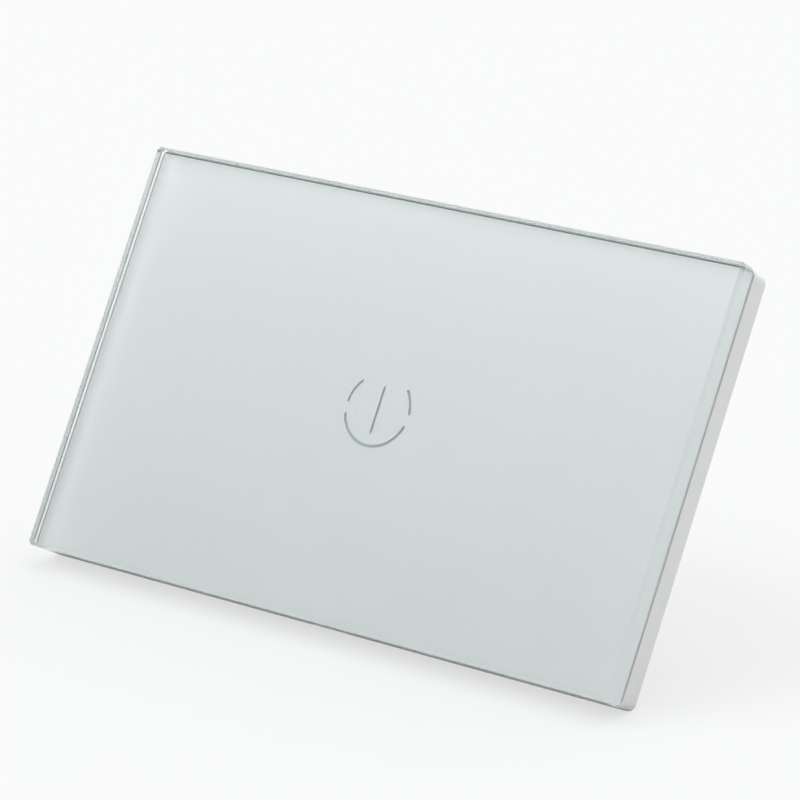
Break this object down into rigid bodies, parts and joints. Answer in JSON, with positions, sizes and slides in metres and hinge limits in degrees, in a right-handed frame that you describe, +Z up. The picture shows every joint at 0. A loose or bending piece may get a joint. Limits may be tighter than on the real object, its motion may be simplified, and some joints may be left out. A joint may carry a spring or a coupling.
{
  "type": "smart light switch",
  "caption": "Landscape glass-fronted touch light switch on a clip-in frame, with a steel strap, rear housing, relay, radio board and screw terminals.",
  "frame": {"origin": "centre of the panel in the plane of the wall, which is the rear face of the steel strap", "axes": "+X right as a user sees the switch, +Y into the wall, +Z up; the glass faces -Y"},
  "size_m": [0.118, 0.0349, 0.0716],
  "materials": {
    "clear_glass": "clear float glass, polished edges",
    "white_film": "white back paint of the glass",
    "foam_tape": "thin grey-brown adhesive tape",
    "frame_plastic": "fine matt moulded, light grey-white",
    "base_plastic": "matt moulded white",
    "strap_steel": "zinc-plated sheet steel",
    "screw_steel": "zinc-plated screws",
    "housing_plastic": "fine matt moulded, light grey-white",
    "touch_circuit": "white solder mask",
    "green_circuit": "green solder mask",
    "chip_black": "moulded chip",
    "spring_steel": "bright spring wire",
    "lamp_lens": "clear lamp on a white base",
    "frosted_plastic": "frosted light guide",
    "shield_metal": "tinned sheet",
    "connector_plastic": "black connector body",
    "relay_plastic": "blue moulded case",
    "copper_wire": "enamelled copper winding",
    "relay_iron": "plated soft iron",
    "contact_metal": "contact brass",
    "ferrite": "dark ferrite",
    "bobbin_plastic": "black coil former",
    "yellow_tape": "yellow coil tape",
    "can_sleeve": "dark sleeve, bare end",
    "fuse_brown": "brown moulded fuse",
    "varistor_blue": "blue epoxy coat",
    "terminal_plastic": "green terminal block"
  },
  "bodies": {
    "base": {"base_frame": "base_plastic", "mounting_strap": "strap_steel", "strap_screws": "screw_steel", "rear_housing": "housing_plastic", "housing_screws": "screw_steel", "touch_board": "touch_circuit", "board_screws": "screw_steel", "touch_chip": "chip_black", "touch_spring": "spring_steel", "indicator_leds": "lamp_lens", "light_guide": "frosted_plastic", "wifi_board": "green_circuit", "wifi_shield": "shield_metal", "link_header": "connector_plastic", "link_socket": "connector_plastic", "power_board": "green_circuit", "relay_base": "relay_plastic", "relay_cover": "relay_plastic", "relay_bobbin": "bobbin_plastic", "relay_winding": "copper_wire", "relay_core": "relay_iron", "relay_yoke": "relay_iron", "relay_fixed_contact": "contact_metal", "transformer_core": "ferrite", "transformer_bobbin": "bobbin_plastic", "transformer_winding": "yellow_tape", "capacitor_1": "can_sleeve", "capacitor_2": "can_sleeve", "fuse": "fuse_brown", "varistor": "varistor_blue", "choke_core": "ferrite", "choke_winding": "copper_wire", "bridge_rectifier": "chip_black", "regulator_chip": "chip_black", "terminal_block": "terminal_plastic", "terminal_contact_1": "contact_metal", "terminal_contact_2": "contact_metal", "terminal_contact_3": "contact_metal"},
    "front_panel": {"glass_panel": "clear_glass", "icon_film": "white_film", "adhesive_tape": "foam_tape", "front_frame": "frame_plastic"},
    "relay_armature": {"relay_armature": "relay_iron", "relay_contact_spring": "contact_metal"},
    "terminal_screw_1": {"terminal_screw_1": "screw_steel"},
    "terminal_cage_1": {"terminal_cage_1": "screw_steel"},
    "terminal_screw_2": {"terminal_screw_2": "screw_steel"},
    "terminal_cage_2": {"terminal_cage_2": "screw_steel"},
    "terminal_screw_3": {"terminal_screw_3": "screw_steel"},
    "terminal_cage_3": {"terminal_cage_3": "screw_steel"}
  },
  "joints": [
    {"name": "panel_pull", "type": "slide", "parent": "base", "child": "front_panel", "axis": [0, -1, 0], "range_m": [0, 0.03]},
    {"name": "terminal_screw_1_turn", "type": "hinge", "parent": "base", "child": "terminal_screw_1", "pos_m": [-0.00762, 0.02, -0.0135], "axis": [0, -1, 0], "range_deg": [0, 1800]},
    {"name": "terminal_clamp_1_rise", "type": "slide", "parent": "base", "child": "terminal_cage_1", "axis": [0, 1, 0], "range_m": [0, 0.0025]},
    {"name": "terminal_screw_2_turn", "type": "hinge", "parent": "base", "child": "terminal_screw_2", "pos_m": [0, 0.02, -0.0135], "axis": [0, -1, 0], "range_deg": [0, 1800]},
    {"name": "terminal_clamp_2_rise", "type": "slide", "parent": "base", "child": "terminal_cage_2", "axis": [0, 1, 0], "range_m": [0, 0.0025]},
    {"name": "terminal_screw_3_turn", "type": "hinge", "parent": "base", "child": "terminal_screw_3", "pos_m": [0.00762, 0.02, -0.0135], "axis": [0, -1, 0], "range_deg": [0, 1800]},
    {"name": "terminal_clamp_3_rise", "type": "slide", "parent": "base", "child": "terminal_cage_3", "axis": [0, 1, 0], "range_m": [0, 0.0025]},
    {"name": "relay_pull_in", "type": "hinge", "parent": "base", "child": "relay_armature", "pos_m": [-0.0243, 0.0215, 0.002], "axis": [0, 0, -1], "range_deg": [0, 5], "stiffness_Nm_per_rad": 0.005, "springref_deg": -5.73}
  ],
  "couplings": [
    {"joint": "terminal_screw_1_turn", "follows": "terminal_clamp_1_rise", "rad_per_m": 12566},
    {"joint": "terminal_screw_2_turn", "follows": "terminal_clamp_2_rise", "rad_per_m": 12566},
    {"joint": "terminal_screw_3_turn", "follows": "terminal_clamp_3_rise", "rad_per_m": 12566}
  ]
}
